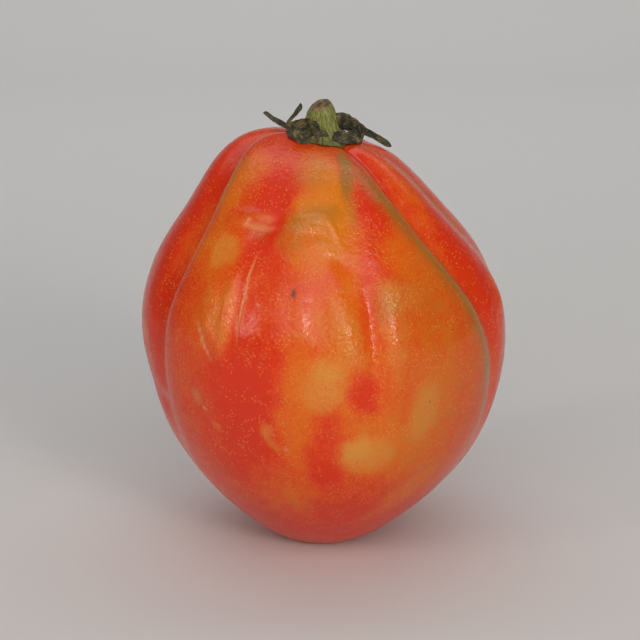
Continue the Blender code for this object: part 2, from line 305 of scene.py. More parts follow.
GOLDEN_BLOTCHES = (
    (0.5, 75.0, 5.2, 5.4, 1.0, 0.0), (2.5, 70.0, 4.4, 3.0, 0.5, 0.0),
    (32.6, 82.6, 3.9, 7.2, 0.95, -0.1), (14.5, 92.8, 6.4, 4.8, 0.95, -0.1),
    (11.0, 90.5, 3.0, 3.4, 0.6, 0.0), (-39.5, 44.6, 3.6, 3.8, 0.85, 0.0),
    (-42.4, 80.7, 1.3, 2.2, 0.6, 0.0), (-18.0, 85.6, 1.3, 1.8, 0.7, 0.0),
    (-16.2, 89.6, 1.0, 2.6, 0.5, 0.4), (-36.0, 87.7, 1.2, 1.2, 0.45, 0.0),
    (-30.5, 36.0, 3.6, 2.0, 0.4, -0.8), (7.4, 62.5, 3.0, 7.5, 0.6, 0.25),
    (22.0, 62.0, 2.8, 10.5, 0.55, 0.0), (24.0, 54.0, 5.4, 3.4, 0.55, 0.6),
    (-32.0, 60.0, 1.8, 8.0, 0.5, 0.0), (-36.5, 60.0, 2.4, 7.0, 0.3, 0.3),
    (96.0, 72.0, 4.0, 6.4, 0.8, 0.0), (118.0, 88.0, 5.0, 4.2, 0.8, 0.0),
    (140.0, 66.0, 3.4, 5.6, 0.7, 0.0), (174.0, 84.0, 5.4, 5.0, 0.85, 0.0),
    (190.0, 60.0, 2.6, 4.0, 0.6, 0.0), (222.0, 78.0, 4.4, 6.0, 0.8, 0.0),
    (246.0, 58.0, 2.8, 3.6, 0.6, 0.0), (262.0, 82.0, 3.0, 4.6, 0.7, 0.0),
    (204.0, 96.0, 3.4, 3.0, 0.6, 0.0), (284.0, 70.0, 1.8, 3.0, 0.4, 0.0),
)
OLIVE_AREAS = (
    (16.0, 20.0, 1.7, 7.5, 0.9, -0.15), (14.0, 31.0, 1.5, 6.0, 0.4, 0.0),
    (-4.0, 34.0, 5.0, 3.4, 0.5, -0.8), (-8.0, 22.0, 4.0, 5.0, 0.25, 0.0),
    (-59.0, 30.0, 2.6, 8.0, 0.45, 0.0), (-13.0, 40.0, 3.0, 4.0, 0.35, 0.0),
    (-27.0, 38.5, 2.4, 1.8, 0.3, 0.0), (172.0, 26.0, 3.0, 7.0, 0.6, 0.0),
    (122.0, 28.0, 2.6, 8.0, 0.55, 0.0), (214.0, 24.0, 2.0, 8.0, 0.6, 0.0),
    (254.0, 28.0, 2.4, 7.0, 0.4, 0.0), (20.5, 56.5, 2.4, 3.4, 0.3, 0.0),
    (44.0, 80.0, 15.0, 30.0, 0.26, 0.0), (33.0, 56.0, 6.0, 8.0, 0.15, 0.0),
)
# Pale marks: the scar line, small pale spots, a dark pit (strength below nought), and painted highlights on
# the crests of some front bumps.
PALE_SCUFFS_AND_HIGHLIGHTS = (
    (-26.4, 55.0, 0.32, 9.5, 1.0, -0.05), (-38.5, 66.0, 0.5, 4.0, 0.8, 0.55),
    (-9.5, 53.0, 0.3, 1.0, -1.0, 0.0), (-28.0, 37.6, 3.4, 0.7, 0.45, -0.8),
    (3.6, 37.5, 0.6, 2.4, 0.35, 0.4), (-5.0, 34.0, 3.2, 0.9, 0.3, -0.8),
    (2.0, 41.5, 3.2, 0.9, 0.3, 0.9), (-40.0, 83.0, 0.4, 0.5, 0.7, 0.0),
    (-12.0, 91.0, 0.4, 0.6, 0.6, 0.3),
)
PEBBLED_AREAS = (
    (24.0, 54.0, 7.0, 4.5, 1.0, 0.6), (7.2, 62.0, 5.0, 9.0, 0.9, 0.2),
    (21.8, 62.0, 5.0, 12.0, 0.8, 0.0), (17.0, 42.0, 3.6, 5.0, 1.0, 0.0),
    (-36.0, 60.0, 6.0, 10.0, 0.9, 0.0), (-2.0, 38.0, 8.0, 6.0, 1.0, 0.0),
    (-12.0, 22.0, 9.0, 9.0, 0.7, 0.0), (24.0, 30.0, 6.0, 12.0, 0.7, 0.0),
    (-50.0, 30.0, 8.0, 12.0, 0.6, 0.0), (0.0, 70.0, 12.0, 10.0, 0.5, 0.0),
    (150.0, 40.0, 20.0, 16.0, 0.8, 0.0), (230.0, 50.0, 20.0, 18.0, 0.8, 0.0),
)
# How softly each kind of patch fades out over its edge, as a share of its half width.
ORANGE_SOFTNESS = 0.55
DEEP_RED_SOFTNESS = 0.6
GOLDEN_SOFTNESS = 0.45
OLIVE_SOFTNESS = 0.6
SCUFF_AND_HIGHLIGHT_SOFTNESS = 0.5
PEBBLED_SOFTNESS = 0.5

# Bands beside the deep creases: which crease, how far to its side, half width, and strength down the fruit.
# The lips' pale bands are painted sheen, the rims' reflection of the bright surroundings, with some of the
# lips' own cream colour.
LEFT_LIP_SHEEN = (0, 2.3, 1.0, ((8, 0.1), (14, 0.8), (50, 0.9), (70, 0.6), (84, 0.0)))
RIGHT_LIP_SHEEN = (3, -2.0, 0.8, ((10, 0.3), (20, 0.7), (34, 1.0), (70, 0.8), (92, 0.0)))
RIGHT_CREASE_BANK = (3, -5.0, 3.2, ((14, 0.2), (24, 0.8), (52, 1.0), (78, 0.9), (96, 0.1)))
OUTER_CREASE_BANK = (4, 1.0, 1.8, ((16, 0.0), (22, 0.7), (36, 0.8), (46, 0.4), (60, 0.0)))
LIP_SHEEN_STRENGTH = 0.75
LIP_SHEEN_PATCHINESS = 0.4
BANK_STRENGTH = 0.85
BANK_PATCHINESS = 0.5

# The marks' edges wander by this many millimetres, so that no patch is a plain oval.
WANDER = 1.1
SCUFF_AND_HIGHLIGHT_WANDER_SHARE = 0.4
LEAST_GIRTH = 6.0

# Ripeness where no patch lies: its level, how much it streaks down the fruit, and how much it clouds.
PLAIN_RIPENESS = 0.22
STREAK_STRENGTH = 0.10
STREAK_STRETCH = 0.22
CLOUD_STRENGTH = 0.14


def patches(azimuth, down, marks, softness):
    """How strongly a set of marks colours each point, each fading out over its edge."""
    total = np.zeros_like(azimuth)
    for mark in marks:
        strength = mark[4]
        inside = np.clip((1.0 + softness - mark_reach(azimuth, down, mark)) / (2 * softness), 0.0, 1.0)
        total += strength * inside * inside * (3.0 - 2.0 * inside)
    return total


def crease_band(arcs, down, band):
    """How strongly a band that runs beside a crease colours each point."""
    crease, aside, half_width, strengths = band
    return np.exp(-(((arcs[crease] - aside) / half_width) ** 2)) * np.interp(down, *zip(*strengths))


def paint(mesh, name, values):
    """A number at each point of a mesh, for its material to read."""
    attribute = mesh.attributes.new(name, "FLOAT", "POINT")
    attribute.data.foreach_set("value", np.asarray(values, np.float32).ravel())


girth = np.maximum(plain_skin(down)[0], LEAST_GIRTH)
astray = azimuth + np.degrees(WANDER * waviness(skin_rows, size=4.0, seed=11.3) / girth)
astray_down = down + WANDER * waviness(skin_rows, size=5.0, seed=17.9)
streaks = waviness(skin_rows * (1.0, 1.0, STREAK_STRETCH), size=5.0, seed=23.0)
clouds = waviness(skin_rows, size=14.0, seed=29.0)
ripeness = PLAIN_RIPENESS + STREAK_STRENGTH * streaks + CLOUD_STRENGTH * clouds
ripeness += patches(astray, astray_down, ORANGE_AREAS, ORANGE_SOFTNESS)
ripeness -= patches(astray, astray_down, DEEP_RED_AREAS, DEEP_RED_SOFTNESS)
golden = patches(astray, astray_down, GOLDEN_BLOTCHES, GOLDEN_SOFTNESS)
olive = patches(astray, astray_down, OLIVE_AREAS, OLIVE_SOFTNESS)
# The pale marks, real scuffs and painted highlights alike, wander less than the colour patches.
scuff_and_highlight_azimuth = azimuth + SCUFF_AND_HIGHLIGHT_WANDER_SHARE * (astray - azimuth)
pale = patches(scuff_and_highlight_azimuth, down, PALE_SCUFFS_AND_HIGHLIGHTS, SCUFF_AND_HIGHLIGHT_SOFTNESS)
pebbled = patches(azimuth, down, PEBBLED_AREAS, PEBBLED_SOFTNESS)

# Along the deep creases the ribs' rounded lips carry a painted pale sheen, partly their own cream colour,
# and the skin on the banks beside them stays olive.
arcs = crease_arcs(azimuth, down)
right_lip_sheen = crease_band(arcs, down, RIGHT_LIP_SHEEN) * (LIP_SHEEN_STRENGTH + LIP_SHEEN_PATCHINESS * clouds)
pale = pale + crease_band(arcs, down, LEFT_LIP_SHEEN) + right_lip_sheen
banks = crease_band(arcs, down, RIGHT_CREASE_BANK) + crease_band(arcs, down, OUTER_CREASE_BANK)
olive = olive + banks * (BANK_STRENGTH + BANK_PATCHINESS * clouds)

skin_paint = {"ripeness": ripeness, "golden": golden, "olive": olive, "pale": pale, "pebbled": pebbled}
for name, values in skin_paint.items():
    crown_value = values[0].mean()
    paint(fruit.data, name, np.append(values.ravel(), crown_value))

# Places of a colour mixing node's own sockets.
MIX_SHARE, MIX_UNDER, MIX_OVER, MIX_RESULT = 0, 6, 7, 2


def add_node(tree, kind, sockets=None, **settings):
    """One shader node; each of its sockets named here gets a value, or a link from another node's output."""
    made = tree.nodes.new(kind)
    for key, value in settings.items():
        setattr(made, key, value)
    for key, value in (sockets or {}).items():
        if isinstance(value, bpy.types.NodeSocket):
            tree.links.new(value, made.inputs[key])
        else:
            made.inputs[key].default_value = value
    return made


def new_material(name):
    """A new material, its node tree, its shader, and places on the object for the grain to follow."""
    made = bpy.data.materials.new(name)
    made.use_nodes = True
    tree = made.node_tree
    return made, tree, tree.nodes["Principled BSDF"], add_node(tree, "ShaderNodeTexCoord").outputs["Object"]


def read_paint(tree, name):
    return add_node(tree, "ShaderNodeAttribute", attribute_name=name).outputs["Fac"]


def calculate(tree, operation, *terms, clamp=False):
    sockets = dict(enumerate(terms))
    return add_node(tree, "ShaderNodeMath", sockets, operation=operation, use_clamp=clamp).outputs[0]


def grain(tree, place, scale, detail=2.0):
    noise_node = add_node(tree, "ShaderNodeTexNoise", {"Vector": place, "Scale": scale, "Detail": detail})
    return noise_node.outputs["Fac"]


def centred(tree, value, strength):
    """Grain made to vary about nought, by half the strength to each side."""
    return calculate(tree, "MULTIPLY_ADD", value, strength, -strength / 2)


def dots(tree, place, scale, size):
    """1 inside small round dots scattered over a surface, 0 between them."""
    cells = add_node(tree, "ShaderNodeTexVoronoi", {"Vector": place, "Scale": scale})
    return calculate(tree, "LESS_THAN", cells.outputs["Distance"], size)


def colour_ramp(tree, value, stops):
    """A colour picked by a value from stops of place and colour."""
    made = add_node(tree, "ShaderNodeValToRGB", {"Fac": value})
    ramp = made.color_ramp
    while len(ramp.elements) < len(stops):
        ramp.elements.new(0.5)
    for element, (place, colour) in zip(ramp.elements, stops):
        element.position = place
        element.color = (*colour, 1.0)
    return made.outputs["Color"]


def mixed(tree, share, under, over):
    """One colour with a share of another over it."""
    sockets = {MIX_SHARE: share, MIX_UNDER: under, MIX_OVER: over}
    return add_node(tree, "ShaderNodeMix", sockets, data_type="RGBA").outputs[MIX_RESULT]


def tinted(tree, share, colour, tint):
    return mixed(tree, share, colour, (*tint, 1.0))


def bump(tree, shader, height, depth, strength=1.0):
    """Fine relief on a surface, as deep in metres as given."""
    relief = add_node(tree, "ShaderNodeBump", {"Height": height, "Distance": depth, "Strength": strength})
    tree.links.new(relief.outputs["Normal"], shader.inputs["Normal"])


RIPE_COLOURS = (
    (0.0, (0.740, 0.030, 0.001)),
    (0.3, (0.780, 0.070, 0.005)),
    (0.6, (0.790, 0.130, 0.003)),
    (1.0, (0.760, 0.200, 0.006)),
)
GOLD = (0.74, 0.285, 0.040)
OLIVE = (0.34, 0.165, 0.012)
# Pale colour of the scuffs and scar, and of the painted sheen on the crease lips and the painted highlights
# on bump crests.
SCUFF_AND_SHEEN_COLOUR = (0.86, 0.360, 0.150)
FLECK = (0.88, 0.360, 0.070)
PIT = (0.16, 0.030, 0.008)
# What stains the skin: the paint that says where, its colour, how unevenly it takes, and how strongly.
STAINS = (("golden", GOLD, 0.9, 0.70), ("olive", OLIVE, 1.6, 0.85))
SCUFF_AND_SHEEN_STRENGTH = 0.7

# Sizes of the skin's grain, as grains to the metre, and how strongly it shifts the ripeness.
FINE_GRAIN = 1900.0
COARSE_GRAIN = 1000.0
MOTTLE_GRAIN = 330.0
FINE_SHIFT = 1.1
MOTTLE_SHIFT = 0.5

# Golden flecks in loose drifts, and a few dark pores: dots to the metre, size in their cell, strength.
FLECK_DOTS = 1300.0
FLECK_SIZE = 0.27
FLECK_DRIFTS = 260.0
FLECK_DRIFT_EDGE = 0.50
FLECK_STRENGTH = 0.34
PORE_DOTS = 160.0
PORE_SIZE = 0.045
PORE_STRENGTH = 0.5

# The waxy shine: roughness of the plain skin, what its mottle adds, and what the pale marks add, which are
# the scuffs and the painted sheen and highlights.
WAX_ROUGHNESS = 0.15
MOTTLE_ROUGHNESS = 0.16
PALE_ROUGHNESS = 0.08
WAX_SPECULAR = 0.42
SKIN_RELIEF_DEPTH = 0.00028
PLAIN_RELIEF = 0.16
PEBBLED_RELIEF = 0.9
MOTTLE_RELIEF = 0.5
FLESH_GLOW = 0.12
FLESH_GLOW_COLOURS = (1.0, 0.25, 0.08)
FLESH_GLOW_DEPTH = 0.003


def skin_material():
    skin, tree, shader, place = new_material("ripe_tomato_skin")
    fine = grain(tree, place, FINE_GRAIN, 3.0)
    coarse = grain(tree, place, COARSE_GRAIN, 2.0)
    mottle = grain(tree, place, MOTTLE_GRAIN, 3.0)
    shift = calculate(tree, "ADD", centred(tree, fine, FINE_SHIFT), centred(tree, mottle, MOTTLE_SHIFT))
    ripe = calculate(tree, "ADD", read_paint(tree, "ripeness"), shift)
    colour = colour_ramp(tree, ripe, RIPE_COLOURS)
    for name, tint, unevenness, strength in STAINS:
        taken = calculate(tree, "MULTIPLY_ADD", shift, unevenness, strength)
        share = calculate(tree, "MULTIPLY", read_paint(tree, name), taken, clamp=True)
        colour = tinted(tree, share, colour, tint)
    # The pale marks: real scuffs and the scar, with painted sheen and painted highlights.
    scuff_and_sheen = calculate(tree, "MULTIPLY", read_paint(tree, "pale"), SCUFF_AND_SHEEN_STRENGTH, clamp=True)
    colour = tinted(tree, scuff_and_sheen, colour, SCUFF_AND_SHEEN_COLOUR)

    drifts = calculate(tree, "GREATER_THAN", grain(tree, place, FLECK_DRIFTS), FLECK_DRIFT_EDGE)
    flecks = calculate(tree, "MULTIPLY", dots(tree, place, FLECK_DOTS, FLECK_SIZE), drifts)
    colour = tinted(tree, calculate(tree, "MULTIPLY", flecks, FLECK_STRENGTH), colour, FLECK)
    pores = calculate(tree, "MULTIPLY", dots(tree, place, PORE_DOTS, PORE_SIZE), PORE_STRENGTH)
    # A scuff of strength below nought is a dark pit.
    pits = calculate(tree, "MULTIPLY", read_paint(tree, "pale"), -1.0, clamp=True)
    colour = tinted(tree, calculate(tree, "MAXIMUM", pores, pits), colour, PIT)
    tree.links.new(colour, shader.inputs["Base Color"])

    rough = calculate(tree, "MULTIPLY_ADD", mottle, MOTTLE_ROUGHNESS, WAX_ROUGHNESS)
    rough = calculate(tree, "MULTIPLY_ADD", read_paint(tree, "pale"), PALE_ROUGHNESS, rough)
    tree.links.new(rough, shader.inputs["Roughness"])
    pebbling = calculate(tree, "MULTIPLY_ADD", read_paint(tree, "pebbled"), PEBBLED_RELIEF, PLAIN_RELIEF)
    pebbles = calculate(tree, "MULTIPLY", coarse, pebbling)
    bump(tree, shader, calculate(tree, "MULTIPLY_ADD", mottle, MOTTLE_RELIEF, pebbles), SKIN_RELIEF_DEPTH)
    shader.inputs["Specular IOR Level"].default_value = WAX_SPECULAR
    shader.inputs["Subsurface Weight"].default_value = FLESH_GLOW
    shader.inputs["Subsurface Radius"].default_value = FLESH_GLOW_COLOURS
    shader.inputs["Subsurface Scale"].default_value = FLESH_GLOW_DEPTH
    return skin


fruit.data.materials.append(skin_material())

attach(fruit, "root")
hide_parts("fruit")

# ----------------------------------------------------------------------------------------------------
# The stem: the short stub of green stalk left on the fruit, fluted, with the calyx's dried fused base
# spread on the skin at its foot and an oblique cut on top that has dried brown. It grew as one with the
# fruit's core.
# ----------------------------------------------------------------------------------------------------

# Radius, and height over the skin under it; above the foot, height over the crown.
STEM_RINGS = (
    (8.3, -0.1), (8.9, 0.35), (8.0, 0.9), (6.4, 1.25), (5.1, 1.7), (4.4, 2.3), (4.0, 3.0), (3.8, 4.0),
    (3.65, 5.0), (3.4, 6.0), (3.0, 6.9), (2.5, 7.7), (2.05, 8.2),
)
STEM_LEVELS = 80
STEM_COLUMNS = 144
STEM_LEAN = -0.11
LEAN_START = 1.5

# The foot follows the skin at its rim and comes level with the crown at its inner radius, over the blend.
FOOT_INNER = 4.4
FOOT_BLEND = 2.6
FOOT_LOWEST_DOWN = 12.0
FOOT_UNEVENNESS = 0.18
# Lobes of the foot: how many, depth, and where they start.
FOOT_LOBES = ((5, 0.06, -1.2), (13, 0.03, 0.0))

# Flutes up the stalk: how many, share of the depth, where they start, and twist per millimetre.
FLUTES = ((5, 0.5, 0.6, 0.25), (9, 0.3, 2.0, -0.2))
FLUTE_DEPTH = 0.055
FINE_FLUTES = 23
FINE_FLUTE_SHARE = 0.18
FINE_FLUTE_SWAY = 0.8
STALK_UNEVENNESS = 0.05
STALK_STRETCH = 0.7

# The cut: how far it rises across the stalk, towards which azimuth, and where below it the slope begins.
CUT_RISE = 0.42
CUT_HIGH_SIDE = 135.0
CUT_SLOPE_START = 4.6
CUT_SLOPE_LENGTH = 3.6
CUT_RINGS = 9
CUT_HOLLOW = 0.35
PITH_DEPTH = 0.2
CUT_RAGGEDNESS = ((0.22, 0.55, 5.0), (0.25, 1.4, 9.0))

# The stalk stays greenest on the side of this azimuth.
GREEN_SIDE = 18.0
GREEN_SIDE_SPREAD = 62.0

crown_height = crown[0, 2]
stem_turn = np.arange(STEM_COLUMNS) * 360.0 / STEM_COLUMNS
turn = np.radians(stem_turn)
share = np.linspace(0.0, len(STEM_RINGS) - 1.0, STEM_LEVELS)
radius, over = (eased(np.arange(len(STEM_RINGS)), np.array(STEM_RINGS)[:, k], share) for k in (0, 1))
radius, over = (np.repeat(column[:, None], STEM_COLUMNS, 1) for column in (radius, over))
foot = np.clip((radius - FOOT_INNER) / FOOT_BLEND, 0.0, 1.0)
flutes = sum(depth * np.cos(count * turn + start + twist * over) for count, depth, start, twist in FLUTES)
flutes = flutes + FINE_FLUTE_SHARE * np.cos(FINE_FLUTES * turn + FINE_FLUTE_SWAY * np.sin(over))
lobes = sum(depth * np.cos(count * turn + start) for count, depth, start in FOOT_LOBES)
stalk_places = np.stack([radius * np.sin(turn), radius * np.cos(turn), over * STALK_STRETCH], -1)
rough_edge = waviness(stalk_places, size=1.3, seed=41.0)
radius = radius * (1.0 + FLUTE_DEPTH * flutes + foot * lobes + STALK_UNEVENNESS * rough_edge)
skin_under = skin_points(np.broadcast_to(stem_turn, radius.shape), np.minimum(radius, FOOT_LOWEST_DOWN))
height = over + foot * skin_under[..., 2] + (1.0 - foot) * crown_height + FOOT_UNEVENNESS * rough_edge * foot
cut_rise = CUT_RISE * radius * np.cos(turn - math.radians(CUT_HIGH_SIDE))
height = height + np.clip((over - CUT_SLOPE_START) / CUT_SLOPE_LENGTH, 0.0, 1.0) * cut_rise
lean = STEM_LEAN * np.maximum(over - LEAN_START, 0.0)
stem_rows = np.stack([radius * np.sin(turn) + lean, -radius * np.cos(turn), height], -1)

brim = stem_rows[-1]
middle_top = brim.mean(axis=0)
inward = np.linspace(0.0, 1.0, CUT_RINGS + 1)[1:-1, None, None]
cut_rows = brim * (1 - inward) + middle_top * inward
cut_hollow = CUT_HOLLOW * np.sin(math.pi * inward[..., 0])
cut_rows[..., 2] += layered_waviness(cut_rows, CUT_RAGGEDNESS) - cut_hollow
stem_points = np.concatenate([stem_rows, cut_rows])
levels = len(stem_points)
pith_point = levels * STEM_COLUMNS
last_ring = pith_point - STEM_COLUMNS
stem_faces = ring_quads(levels, STEM_COLUMNS)[:, ::-1].tolist()
stem_faces += [(pith_point, last_ring + k, last_ring + (k + 1) % STEM_COLUMNS) for k in range(STEM_COLUMNS)]
stem_faces.append(list(range(STEM_COLUMNS - 1, -1, -1)))
pith = middle_top - (0.0, 0.0, PITH_DEPTH)
stem = closed_mesh_object("stem_stub", np.vstack([stem_points.reshape(-1, 3), pith]), stem_faces)

# The cut counts as one millimetre higher than the brim, for the material to tell it from the stalk.
cut_over = over.max() + 1.0
level_over = np.vstack([over, np.full((levels - STEM_LEVELS, STEM_COLUMNS), cut_over)])
level_turn = np.broadcast_to(stem_turn, level_over.shape)
green_side = np.exp(-((turn_between(level_turn, GREEN_SIDE) / GREEN_SIDE_SPREAD) ** 2))
paint(stem.data, "over", np.append(level_over.ravel(), cut_over))
paint(stem.data, "around", np.append(level_turn.ravel() / 360.0, 0.0))
paint(stem.data, "green_side", np.append(green_side.ravel(), 0.0))

CUT_BROWN = (0.085, 0.048, 0.020)
CUT_PALE = (0.30, 0.200, 0.090)
STALK_GREEN = (0.120, 0.135, 0.022)
STALK_LIGHT = (0.300, 0.290, 0.070)
FOOT_BROWN = (0.060, 0.030, 0.012)

# Light lines up the stalk: how close together round it, how drawn out up it, and their grain.
LINES_AROUND = 20.0
LINES_UP = 0.28
LINE_GRAIN = 2.4
STALK_PATCHES = 700.0
# The dried foot: brown falls off up the stalk, keeps off its green side, and ends in patches.
FOOT_BROWN_START = 1.9
FOOT_BROWN_FALL = -0.5
GREEN_SIDE_STRENGTH = 1.1
FOOT_PATCHINESS = 1.2
FOOT_BROWN_STRENGTH = 0.92
# The dried cut: how sharply it begins, how far under the top, and how patchy its edge is.
CUT_EDGE_SHARPNESS = 1.8
CUT_EDGE_START = -13.2
CUT_PATCHINESS = 2.4
STALK_ROUGHNESS = 0.42
STALK_PATCH_ROUGHNESS = 0.3
STALK_PATCH_RELIEF = 0.5
STALK_RELIEF_DEPTH = 0.0005
STALK_RELIEF_STRENGTH = 0.9


def stalk_material():
    stalk, tree, shader, place = new_material("green_stalk")
    over = read_paint(tree, "over")
    line_around = calculate(tree, "MULTIPLY", read_paint(tree, "around"), LINES_AROUND)
    line_up = calculate(tree, "MULTIPLY", over, LINES_UP)
    line_place = add_node(tree, "ShaderNodeCombineXYZ", {"X": line_around, "Y": line_up}).outputs[0]
    lines = grain(tree, line_place, LINE_GRAIN, 4.0)
    patchy = grain(tree, place, STALK_PATCHES, 3.0)
    colour = colour_ramp(tree, lines, ((0.36, STALK_GREEN), (0.62, STALK_LIGHT)))

    foot_share = calculate(tree, "MULTIPLY_ADD", over, FOOT_BROWN_FALL, FOOT_BROWN_START)
    green_share = calculate(tree, "MULTIPLY", read_paint(tree, "green_side"), GREEN_SIDE_STRENGTH)
    foot_share = calculate(tree, "SUBTRACT", foot_share, green_share)
    foot_share = calculate(tree, "ADD", foot_share, centred(tree, patchy, FOOT_PATCHINESS), clamp=True)
    foot_share = calculate(tree, "MULTIPLY", foot_share, FOOT_BROWN_STRENGTH)
    colour = tinted(tree, foot_share, colour, FOOT_BROWN)

    cut_share = calculate(tree, "MULTIPLY_ADD", over, CUT_EDGE_SHARPNESS, CUT_EDGE_START)
    cut_share = calculate(tree, "ADD", cut_share, centred(tree, patchy, CUT_PATCHINESS), clamp=True)
    cut_colour = colour_ramp(tree, patchy, ((0.36, CUT_BROWN), (0.66, CUT_PALE)))
    tree.links.new(mixed(tree, cut_share, colour, cut_colour), shader.inputs["Base Color"])

    rough = calculate(tree, "MULTIPLY_ADD", patchy, STALK_PATCH_ROUGHNESS, STALK_ROUGHNESS)
    tree.links.new(rough, shader.inputs["Roughness"])
    height = calculate(tree, "MULTIPLY_ADD", patchy, STALK_PATCH_RELIEF, lines)
    bump(tree, shader, height, STALK_RELIEF_DEPTH, STALK_RELIEF_STRENGTH)
    return stalk


stem.data.materials.append(stalk_material())
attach(stem, "root")
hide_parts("stem")

# ----------------------------------------------------------------------------------------------------
# The sepals: five narrow leaves of the calyx, dried dark and curled, with fine veins along them. Each
# grows out of the fused base at the stem's foot and stands mostly clear of the skin.
# ----------------------------------------------------------------------------------------------------

# Down each leaf: the middle of the blade in millimetres, its width, and the way its face looks.
SEPALS = {
    "sepal_left_long": (
        ((-4.6, -1.2, 102.3), 2.6, (-0.2, -0.8, 0.6)),
        ((-6.9, -0.2, 102.6), 2.0, (-0.2, -0.8, 0.5)),
        ((-8.8, 0.6, 103.6), 1.5, (0.3, -0.8, 0.5)),
        ((-10.6, 1.2, 104.4), 1.7, (0.3, -0.8, 0.6)),
        ((-12.5, 1.7, 105.5), 1.6, (0.4, -0.7, 0.7)),
        ((-13.9, 1.9, 106.6), 1.1, (0.2, -0.9, 0.5)),
        ((-14.5, 1.6, 106.8), 0.7, (-0.4, -0.9, 0.2)),
    ),
    "sepal_left_upright": (
        ((-2.6, -3.2, 104.6), 1.8, (0.0, -0.9, 0.4)),
        ((-4.6, -1.6, 104.8), 2.1, (0.0, -0.9, 0.4)),
        ((-7.4, 0.6, 104.2), 1.4, (-0.4, -0.8, 0.4)),
        ((-8.4, 1.6, 104.3), 0.9, (-0.7, -0.7, 0.1)),
        ((-7.4, 2.4, 105.5), 0.9, (-0.6, -0.8, 0.2)),
        ((-6.2, 2.8, 106.8), 1.4, (-0.6, -0.8, 0.1)),
        ((-5.5, 3.0, 107.9), 1.3, (-0.5, -0.8, 0.0)),
        ((-5.4, 3.1, 109.0), 0.3, (-0.5, -0.8, 0.0)),
    ),
    "sepal_front_curl": (
        ((1.0, -5.2, 102.6), 2.6, (0.3, -1.0, 0.4)),
        ((-1.2, -6.8, 101.9), 3.2, (0.1, -1.0, 0.6)),
        ((-3.8, -7.2, 101.8), 3.5, (0.2, -1.0, 0.5)),
        ((-5.9, -6.4, 102.9), 3.4, (0.4, -1.0, 0.1)),
        ((-6.0, -5.6, 104.5), 3.0, (0.4, -1.0, -0.2)),
        ((-4.2, -5.4, 105.6), 2.9, (0.1, -1.0, -0.5)),
        ((-2.0, -5.8, 105.2), 2.5, (-0.4, -1.0, -0.3)),
        ((-1.4, -6.6, 103.8), 1.9, (-0.5, -1.0, 0.2)),
        ((-2.6, -7.0, 102.9), 1.2, (-0.2, -1.0, 0.4)),
    ),
    "sepal_right_long": (
        ((2.2, -0.6, 105.2), 3.2, (0.1, -0.9, 0.2)),
        ((4.2, -0.6, 105.1), 3.9, (0.2, -0.9, 0.3)),
        ((6.2, 0.0, 104.3), 3.8, (0.3, -0.9, 0.3)),
        ((8.2, 0.8, 103.2), 3.0, (0.3, -0.9, 0.4)),
        ((10.4, 1.4, 102.0), 2.0, (0.4, -0.8, 0.5)),
        ((13.0, 2.2, 100.5), 1.9, (0.4, -0.8, 0.5)),
        ((15.2, 2.8, 99.1), 1.8, (0.3, -0.8, 0.6)),
        ((16.6, 3.2, 98.2), 0.7, (0.3, -0.8, 0.6)),
    ),
    "sepal_right_curl": (
        ((2.4, -5.4, 102.4), 2.6, (0.2, -0.9, 0.6)),
        ((4.8, -6.2, 101.9), 3.2, (0.3, -0.9, 0.6)),
        ((7.0, -5.2, 101.9), 3.2, (0.5, -0.8, 0.5)),
        ((8.6, -3.2, 102.6), 2.8, (0.3, -1.0, 0.1)),
        ((8.1, -2.0, 104.0), 2.4, (0.0, -1.0, -0.3)),
        ((6.2, -2.4, 104.5), 1.9, (-0.2, -1.0, -0.2)),
        ((4.8, -3.2, 103.9), 1.2, (-0.2, -1.0, 0.2)),
    ),
}
SEPAL_STATIONS = 90
SEPAL_SECTION = 28
SEPAL_THICKNESS = 0.42
TROUGH = 0.16
# The blade rounds off over this length at each end, but never to nothing.
END_LENGTH = 0.8
LEAST_END = 0.02
EDGE_WANDER = 0.16
EDGE_WAVE = 1.1
CRINKLE = 0.12
CRINKLE_WAVE = 1.4
CRINKLE_SEED_STEP = 2.0
# Main and fine veins: height, and how close together they lie across the blade.
VEIN_HEIGHT = 0.05
VEIN_CLOSENESS = 9.0
FINE_VEIN_HEIGHT = 0.035
FINE_VEIN_CLOSENESS = 21.0
FINE_VEIN_SLANT = 0.6
LEAF_SPACING = 7.0

DRIED_DARK = (0.022, 0.019, 0.010)
DRIED_GREEN = (0.075, 0.070, 0.026)
DRIED_TAN = (0.260, 0.190, 0.080)
DRIED_COLOURS = ((0.40, DRIED_DARK), (0.52, DRIED_GREEN), (0.68, DRIED_TAN))
VEINS_ACROSS = 1.1
VEINS_ALONG = 0.35
VEIN_GRAIN = 2.2
DRIED_PATCHES = 420.0
DRIED_PATCHINESS = 0.9
DRIED_ROUGHNESS = 0.34
DRIED_PATCH_ROUGHNESS = 0.4
VEIN_RELIEF_DEPTH = 0.0006


def dried_sepal_material():
    dried, tree, shader, place = new_material("dried_sepal")
    vein_across = calculate(tree, "MULTIPLY", read_paint(tree, "across"), VEINS_ACROSS)
    vein_along = calculate(tree, "MULTIPLY", read_paint(tree, "along"), VEINS_ALONG)
    vein_place = add_node(tree, "ShaderNodeCombineXYZ", {"X": vein_across, "Y": vein_along}).outputs[0]
    veins = grain(tree, vein_place, VEIN_GRAIN, 4.0)
    patchy = grain(tree, place, DRIED_PATCHES, 3.0)
    shade = calculate(tree, "ADD", veins, centred(tree, patchy, DRIED_PATCHINESS))
    tree.links.new(colour_ramp(tree, shade, DRIED_COLOURS), shader.inputs["Base Color"])
    rough = calculate(tree, "MULTIPLY_ADD", patchy, DRIED_PATCH_ROUGHNESS, DRIED_ROUGHNESS)
    tree.links.new(rough, shader.inputs["Roughness"])
    bump(tree, shader, veins, VEIN_RELIEF_DEPTH)
    return dried


def unit(vectors):
    return vectors / np.maximum(np.linalg.norm(vectors, axis=-1, keepdims=True), 1e-9)


